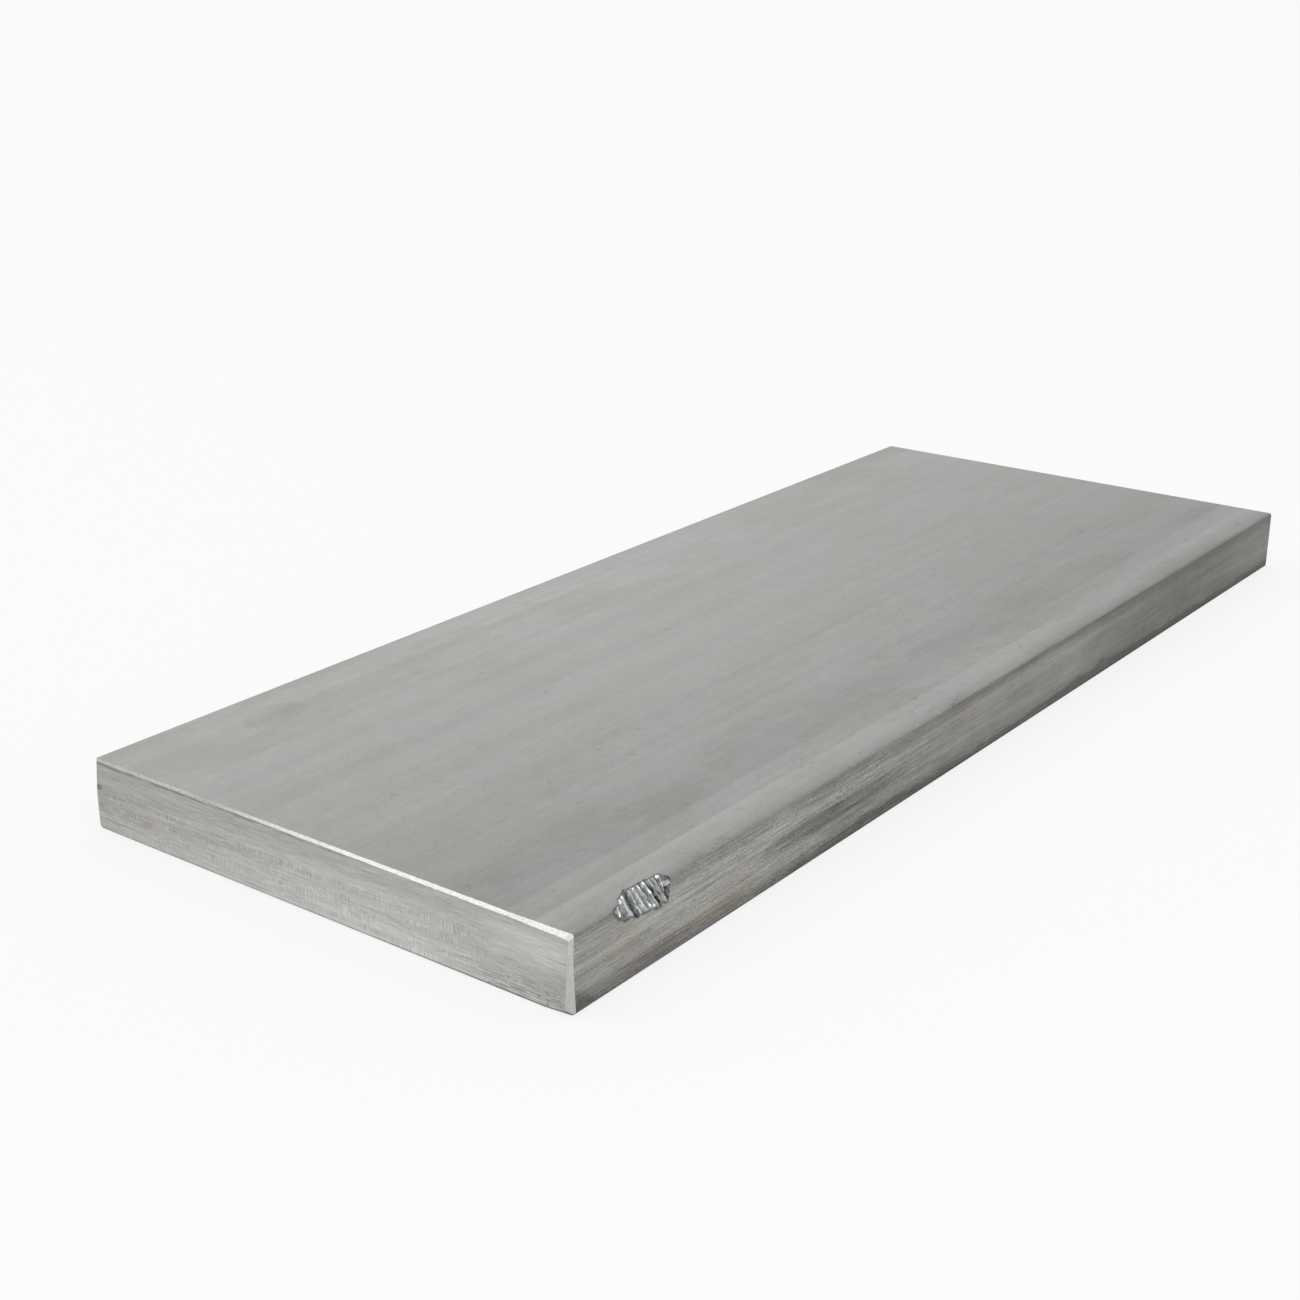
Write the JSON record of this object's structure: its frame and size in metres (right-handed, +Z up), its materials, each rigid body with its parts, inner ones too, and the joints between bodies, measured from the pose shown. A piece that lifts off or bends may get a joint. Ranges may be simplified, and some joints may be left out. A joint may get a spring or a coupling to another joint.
{
  "type": "metal flat bar",
  "caption": "Solid aluminium flat bar cut to length, with filed end edges and a toothed bite in one long edge.",
  "frame": {"origin": "centre of the bottom face", "axes": "+X along the bar, away from the end with the filed bevels, +Y across the width, away from the edge with the bite, +Z up through the thickness"},
  "size_m": [0.5, 0.2, 0.025],
  "materials": {
    "mill_aluminium": "satin mill finish, streaked along the bar, with brighter filed edges"
  },
  "bodies": {
    "root": {"flat_bar": "mill_aluminium"}
  },
  "joints": []
}
